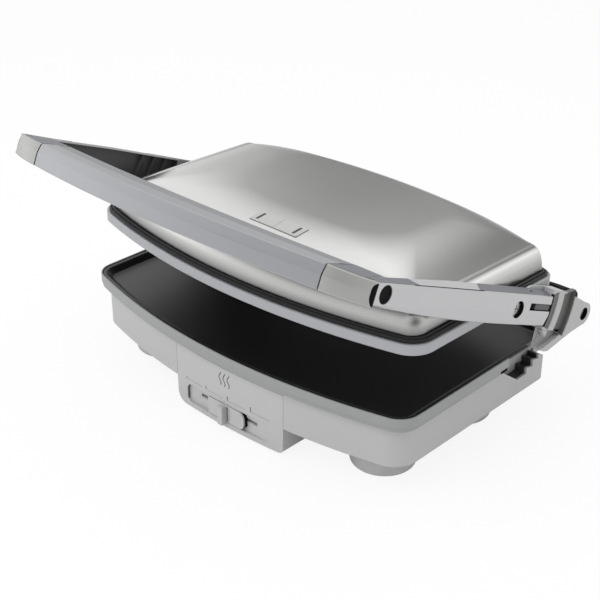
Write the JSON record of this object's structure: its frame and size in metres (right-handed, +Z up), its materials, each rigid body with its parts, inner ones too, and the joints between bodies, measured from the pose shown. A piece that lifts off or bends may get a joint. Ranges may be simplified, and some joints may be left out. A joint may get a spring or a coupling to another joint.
{
  "type": "sandwich maker",
  "caption": "Countertop contact press: bowed base with a dark cooking plate, a floating brushed lid carried on two arms with a bowed handle, and a sliding heat control.",
  "frame": {"origin": "on the surface it stands on, under the middle of the whole object", "axes": "+X to the right, +Y to the hinges at the rear, +Z up"},
  "size_m": [0.3786, 0.3031, 0.2206],
  "materials": {
    "light_plastic": "satin light grey",
    "grey_paint": "satin mid grey",
    "silver_paint": "satin silver",
    "satin_aluminium": "satin",
    "brushed_steel": "brushed along the width",
    "non_stick": "dark non-stick coating, satin",
    "black_rubber": "matte",
    "black_plastic": "matte",
    "dark_grey_plastic": "matte",
    "zinc_steel": "zinc plated",
    "clear_lens": "smoked, unlit"
  },
  "bodies": {
    "base": {"base_bottom_cover": "light_plastic", "base_housing": "light_plastic", "control_panel": "light_plastic", "cord_gland": "black_rubber", "foot_front_left": "light_plastic", "foot_front_right": "light_plastic", "foot_pad_front_left": "black_rubber", "foot_pad_front_right": "black_rubber", "foot_pad_rear_left": "black_rubber", "foot_pad_rear_right": "black_rubber", "foot_rear_left": "light_plastic", "foot_rear_right": "light_plastic", "hinge_pin_left": "zinc_steel", "hinge_pin_right": "zinc_steel", "hinge_post_left": "light_plastic", "hinge_post_right": "light_plastic", "lower_heating_element": "zinc_steel", "lower_plate": "non_stick", "lower_reflector": "zinc_steel", "lower_rim_band": "grey_paint", "rear_rim_band": "grey_paint", "step_pocket_liner_left": "light_plastic", "step_pocket_liner_right": "light_plastic", "step_rack_left": "black_plastic", "step_rack_right": "black_plastic", "terminal_block": "black_plastic", "thermostat": "dark_grey_plastic"},
    "temperature_slider": {"temperature_knob": "light_plastic", "slider_carriage": "black_plastic"},
    "arms": {"arm_left": "satin_aluminium", "arm_pivot_bolt_left": "zinc_steel", "arm_pivot_bolt_right": "zinc_steel", "arm_plug_left": "black_rubber", "arm_plug_right": "black_rubber", "arm_right": "satin_aluminium", "grip_rear_cover": "silver_paint", "handle_corner_left": "satin_aluminium", "handle_corner_right": "satin_aluminium", "handle_grip": "silver_paint", "hinge_bracket_left": "light_plastic", "hinge_bracket_right": "light_plastic", "hinge_cover_left": "black_plastic", "hinge_cover_right": "black_plastic"},
    "lock_left": {"lock_slider_left": "dark_grey_plastic"},
    "lock_right": {"lock_slider_right": "dark_grey_plastic"},
    "lid": {"lid_rim_band": "silver_paint", "lid_gasket": "black_rubber", "lid_cover": "brushed_steel", "indicator_plate": "brushed_steel", "power_light": "clear_lens", "ready_light": "clear_lens", "upper_plate": "non_stick", "upper_heating_element": "zinc_steel", "upper_reflector": "zinc_steel"}
  },
  "joints": [
    {"name": "arm_hinge", "type": "hinge", "parent": "base", "child": "arms", "pos_m": [0, 0.14192, 0.084], "axis": [-1, 0, 0], "range_deg": [-25.1, 50]},
    {"name": "lid_pivot", "type": "hinge", "parent": "arms", "child": "lid", "pos_m": [0, 0.04544, 0.12595], "axis": [-1, 0, 0], "range_deg": [-47.9, 24.1]},
    {"name": "temperature_slide", "type": "slide", "parent": "base", "child": "temperature_slider", "axis": [1, 0, 0], "range_m": [-0.0215, 0.019]},
    {"name": "lock_slide_left", "type": "slide", "parent": "arms", "child": "lock_left", "axis": [0, -0.9171, 0.3987], "range_m": [0, 0.009]},
    {"name": "lock_slide_right", "type": "slide", "parent": "arms", "child": "lock_right", "axis": [0, -0.9171, 0.3987], "range_m": [0, 0.009]}
  ],
  "couplings": [
    {"joint": "lid_pivot", "follows": "arm_hinge", "ratio": -0.956}
  ]
}
